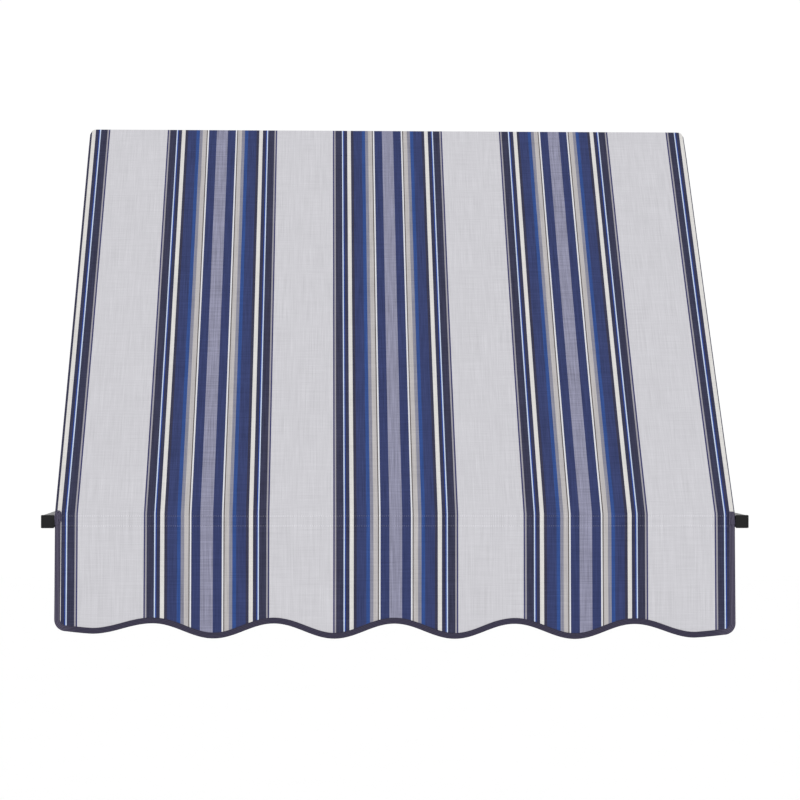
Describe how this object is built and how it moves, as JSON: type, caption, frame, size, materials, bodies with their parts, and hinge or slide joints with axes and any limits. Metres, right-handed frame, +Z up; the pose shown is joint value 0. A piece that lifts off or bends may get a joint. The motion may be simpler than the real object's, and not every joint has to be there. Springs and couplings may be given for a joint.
{
  "type": "window awning",
  "caption": "Fold-up window awning: striped canopy and scalloped valance on a square-tube frame whose arms hinge on wall brackets.",
  "frame": {"origin": "on the wall face of the middle head bracket, level with the axis of the head rail", "axes": "+X to the right of someone facing the wall, +Y into the wall (the wall is the plane y = 0 and the awning stands out toward -Y), +Z up"},
  "size_m": [1.3224, 0.6153, 1.0103],
  "materials": {
    "striped_cloth": "woven acrylic, off-white with navy, blue, beige and grey stripes",
    "navy_braid": "ribbed woven binding braid",
    "seam_thread": "light polyester thread",
    "powder_coat": "satin black powder coat",
    "black_plastic": "moulded, fine grain",
    "zinc_hardware": "zinc plated"
  },
  "bodies": {
    "wall_frame": {"canopy": "striped_cloth", "head_rail": "powder_coat", "cloth_batten": "zinc_hardware", "batten_screw_1": "zinc_hardware", "batten_screw_2": "zinc_hardware", "batten_screw_3": "zinc_hardware", "batten_screw_4": "zinc_hardware", "batten_screw_5": "zinc_hardware", "batten_screw_6": "zinc_hardware", "batten_screw_7": "zinc_hardware", "head_bracket_left": "powder_coat", "rail_bolt_left": "zinc_hardware", "head_bracket_middle": "powder_coat", "rail_bolt_middle": "zinc_hardware", "head_bracket_right": "powder_coat", "rail_bolt_right": "zinc_hardware", "rail_end_cap_left": "black_plastic", "hinge_bracket_left": "powder_coat", "hinge_bolt_left": "zinc_hardware", "hinge_nut_left": "zinc_hardware", "rail_end_cap_right": "black_plastic", "hinge_bracket_right": "powder_coat", "hinge_bolt_right": "zinc_hardware", "hinge_nut_right": "zinc_hardware"},
    "arms": {"frame_arm_left": "powder_coat", "arm_front_cap_left": "black_plastic", "arm_rear_cap_left": "black_plastic", "frame_arm_right": "powder_coat", "arm_front_cap_right": "black_plastic", "arm_rear_cap_right": "black_plastic"},
    "front_bar": {"front_bar": "powder_coat", "pocket_sleeve": "striped_cloth", "valance": "striped_cloth", "valance_binding": "navy_braid", "bar_end_plug_left": "black_plastic", "pivot_bolt_left": "zinc_hardware", "bar_end_plug_right": "black_plastic", "pivot_bolt_right": "zinc_hardware"}
  },
  "joints": [
    {"name": "frame_swing", "type": "hinge", "parent": "wall_frame", "child": "arms", "pos_m": [0, -0.045, -0.765], "axis": [-1, 0, 0], "range_deg": [0, 80], "deforming": ["canopy"]},
    {"name": "bar_tilt", "type": "hinge", "parent": "arms", "child": "front_bar", "pos_m": [0, -0.5985, -0.787], "axis": [-1, 0, 0], "range_deg": [-80, 0]}
  ],
  "couplings": [
    {"joint": "bar_tilt", "follows": "frame_swing", "ratio": -1}
  ]
}
